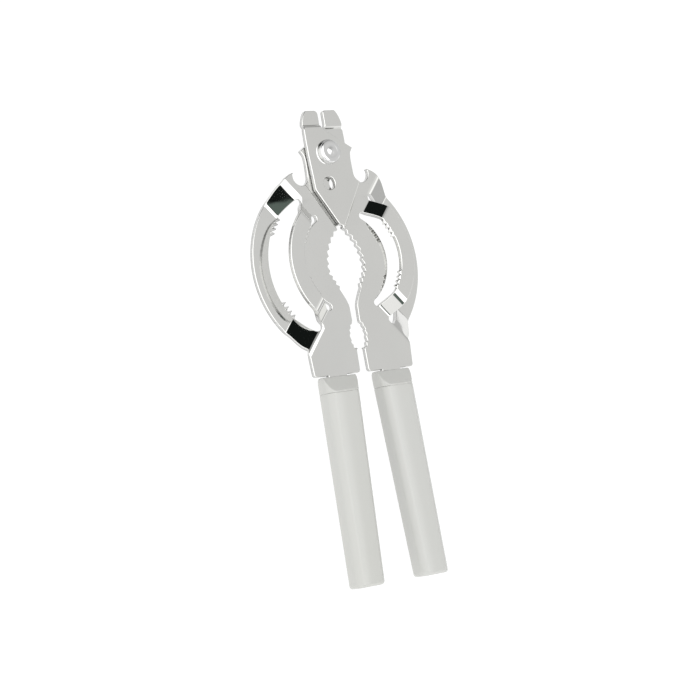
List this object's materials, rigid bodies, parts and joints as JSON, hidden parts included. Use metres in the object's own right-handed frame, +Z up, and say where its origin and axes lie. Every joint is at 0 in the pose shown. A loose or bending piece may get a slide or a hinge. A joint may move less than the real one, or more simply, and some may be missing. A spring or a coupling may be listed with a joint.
{
  "type": "multi-purpose can opener pliers",
  "caption": "Plier-type opener of two riveted chrome levers with toothed jaws for lids and screw caps, crown-cap notches, a nose gripper and plastic grips.",
  "frame": {"origin": "bottom centre of the whole tool's bounding box as it lies on its lowered bands", "axes": "+Z up, out of the face that carries the rivet's domed head; +Y along the tool from the grips to the noses; +X to the right-hand arm, which belongs to the front lever"},
  "size_m": [0.083, 0.2006, 0.0148],
  "materials": {
    "front_lever": "plated stamped steel, bright",
    "rear_lever": "plated stamped steel, bright",
    "pivot_rivet": "plated, bright",
    "right_grip": "off-white, satin gloss",
    "left_grip": "off-white, satin gloss"
  },
  "bodies": {
    "rear_half": {"rear_lever": "rear_lever", "pivot_rivet": "pivot_rivet", "left_grip": "left_grip"},
    "front_half": {"front_lever": "front_lever", "right_grip": "right_grip"}
  },
  "joints": [
    {"name": "pivot", "type": "hinge", "parent": "rear_half", "child": "front_half", "pos_m": [0, 0.08192, 0.0074], "axis": [0, 0, 1], "range_deg": [-2.2, 46]}
  ]
}
